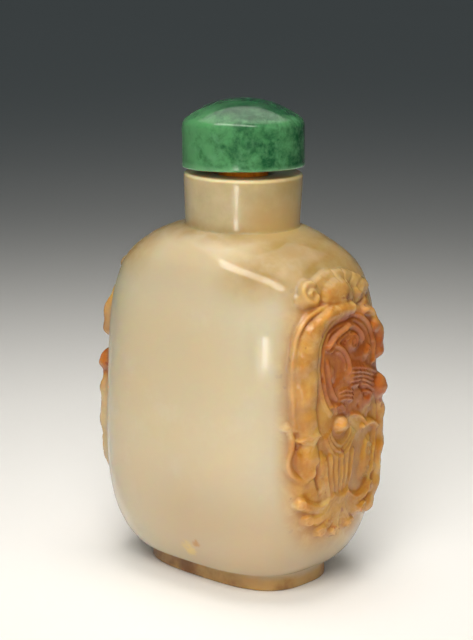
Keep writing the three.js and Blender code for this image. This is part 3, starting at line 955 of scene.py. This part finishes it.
def inclusion(g, place, size):
    """How much of a small cloudy mark inside the stone shows at a point."""
    offset = g.node("ShaderNodeVectorMath", operation="DISTANCE")
    g.link(g.place(), offset.inputs[0])
    offset.inputs[1].default_value = place
    ragged = g.math("ADD", offset.outputs["Value"], g.centred(g.noise(900, 3, 0.6), 1.4 * size))
    return g.ranged(ragged, size, size * 0.35, 0.0, 0.75)


def cap_stone():
    g = Graph("mottled_green_stone")
    x, y, z = g.axes()
    flecks = g.noise(620, 4, 0.6)
    # Painted light: the stone is made paler towards the camera's left, where the lights fall
    # from.
    side = g.math("ADD", g.math("MULTIPLY", x, 0.75), g.math("MULTIPLY", y, 0.66))
    light_from_left = g.ranged(side, 0.002, -0.008, -0.03, 0.15)
    cloud = g.math("ADD", g.noise(330, 6, 0.68, 0.3), light_from_left)
    colour = g.mix(g.ranged(cloud, 0.34, 0.68), (0.010, 0.078, 0.027), (0.085, 0.260, 0.105))
    colour = g.mix(g.ranged(flecks, 0.45, 0.75, 0.0, 0.5), colour, (0.12, 0.32, 0.15))
    deep = g.ranged(g.noise(170, 3, 0.5), 0.5, 0.7, 0.0, 0.35)
    colour = g.mix(deep, colour, (0.004, 0.045, 0.014))
    # Painted shade: the top of the dome is darkened.
    crown = g.ranged(z, 0.0668, 0.0700, 0.0, 0.7)
    colour = g.mix(crown, colour, (0.006, 0.045, 0.020))
    # Painted light: the lower edge of the cap is made paler, as if lit through its rim.
    lower_edge_light = g.ranged(z, 0.0614, 0.0605, 0.0, 0.5)
    colour = g.mix(lower_edge_light, colour, (0.20, 0.42, 0.22))
    g.feed(g.shader.inputs["Base Color"], colour)
    g.feed(g.shader.inputs["Roughness"], g.ranged(flecks, 0.3, 0.7, 0.07, 0.16))
    g.glow(0.8, (0.35, 1.0, 0.55), 0.0020, 1.62)
    g.bump(flecks, 0.05, 0.0001)
    return g.material


def cork():
    g = Graph("orange_cork")
    grain = g.noise(900, 5, 0.6, 0.0, (1, 1, 0.4))
    pores = g.ranged(g.cells(1500), 0.12, 0.3)
    colour = g.mix(g.ranged(grain, 0.35, 0.65), (0.60, 0.15, 0.006), (0.78, 0.26, 0.014))
    colour = g.mix(pores, (0.40, 0.10, 0.010), colour)
    g.feed(g.shader.inputs["Base Color"], colour)
    g.shader.inputs["Roughness"].default_value = 0.7
    g.bump(g.math("ADD", grain, pores), 0.4, 0.0002)
    return g.material


def floor_paper():
    g = Graph("plain_pale_floor")
    tone = g.mix(g.noise(6, 2, 0.5), (0.80, 0.795, 0.78), (0.83, 0.825, 0.81))
    g.feed(g.shader.inputs["Base Color"], tone)
    g.shader.inputs["Roughness"].default_value = 0.6
    return g.material


# ---- Stage, light and camera ----
def make_floor():
    bpy.ops.mesh.primitive_grid_add(x_subdivisions=8, y_subdivisions=8, size=4.0)
    floor = bpy.context.active_object
    floor.name = "floor"
    floor.data.materials.append(floor_paper())


LAMP_TINT = (1.0, 0.96, 0.90)


def soft_light(name, azimuth, elevation, distance, size, watts, spread=180, shift=0.0,
               target_z=0.035, gloss=True, diffuse=True):
    """A rectangular light that faces the object, shifted sideways along its own length.

    Azimuth 0 is in front of the near broad face. A light without gloss isn't seen in reflections,
    and one without diffuse is only seen there, like a white card.
    """
    a, e = math.radians(azimuth), math.radians(elevation)
    away = Vector((math.sin(a) * math.cos(e), -math.cos(a) * math.cos(e), math.sin(e)))
    place = Vector((0, 0, target_z)) + distance * away
    data = bpy.data.lights.new(name, "AREA")
    data.shape = "RECTANGLE"
    data.size, data.size_y = size
    data.energy = watts
    data.spread = math.radians(spread)
    data.color = LAMP_TINT
    light = bpy.data.objects.new(name, data)
    light.location = place + shift * Vector((math.cos(a), math.sin(a), 0))
    light.rotation_euler = away.to_track_quat("Z", "Y").to_euler()
    light.visible_camera = False
    light.visible_glossy = gloss
    light.visible_diffuse = diffuse
    bpy.context.scene.collection.objects.link(light)


def make_lights():
    lamp = {"gloss": False}
    card = {"diffuse": False}
    view = VIEW_AZIMUTH
    soft_light("overhead", view, 89, 0.34, (0.20, 0.20), 0.122, spread=60, **lamp)
    soft_light("top_card", view + 180, 78, 0.42, (0.66, 0.50), 0.70, spread=120, **card)
    soft_light("long_key", view - 35, 61, 0.45, (0.61, 0.120), 1.10, shift=0.086, **card)
    soft_light("front", view - 10, 45, 0.36, (0.24, 0.20), 0.160, spread=50, **lamp)
    soft_light("front_low", view - 5, 12, 0.42, (0.26, 0.14), 0.088, spread=60, **lamp)
    soft_light("right_fill", view + 50, 25, 0.32, (0.20, 0.14), 0.060, **lamp)
    soft_light("low_card", view - 12.5, 0, 0.143, (0.018, 0.026), 0.007, target_z=0.031, **card)
    soft_light("low_halo", view - 12.5, 0, 0.144, (0.045, 0.034), 0.006, target_z=0.026, **card)
    world = bpy.data.worlds.new("studio")
    world.use_nodes = True
    background = world.node_tree.nodes["Background"]
    background.inputs["Color"].default_value = (0.80, 0.95, 1.0, 1.0)
    background.inputs["Strength"].default_value = 0.06
    bpy.context.scene.world = world


def make_camera():
    """The camera stands in front of the near broad face, turned towards the carved +X side."""
    data = bpy.data.cameras.new("camera")
    data.lens = VIEW_LENS
    data.sensor_width = 36
    data.clip_start = 0.01
    camera = bpy.data.objects.new("camera", data)
    a = math.radians(VIEW_AZIMUTH)
    turn = Matrix.Rotation(a, 3, "Z")
    for degrees, axis in ((90 - VIEW_PITCH, "X"), (VIEW_YAW, "Y"), (VIEW_ROLL, "Z")):
        turn = turn @ Matrix.Rotation(math.radians(degrees), 3, axis)
    camera.matrix_world = turn.to_4x4()
    camera.location = (VIEW_DISTANCE * math.sin(a), -VIEW_DISTANCE * math.cos(a), VIEW_HEIGHT)
    bpy.context.scene.collection.objects.link(camera)
    bpy.context.scene.camera = camera


make_camera()
make_lights()
make_floor()
make_bottle().data.materials.append(body_stone())
make_cap().data.materials.append(cap_stone())
make_plug().data.materials.append(cork())

bpy.context.scene.view_settings.view_transform = "Standard"
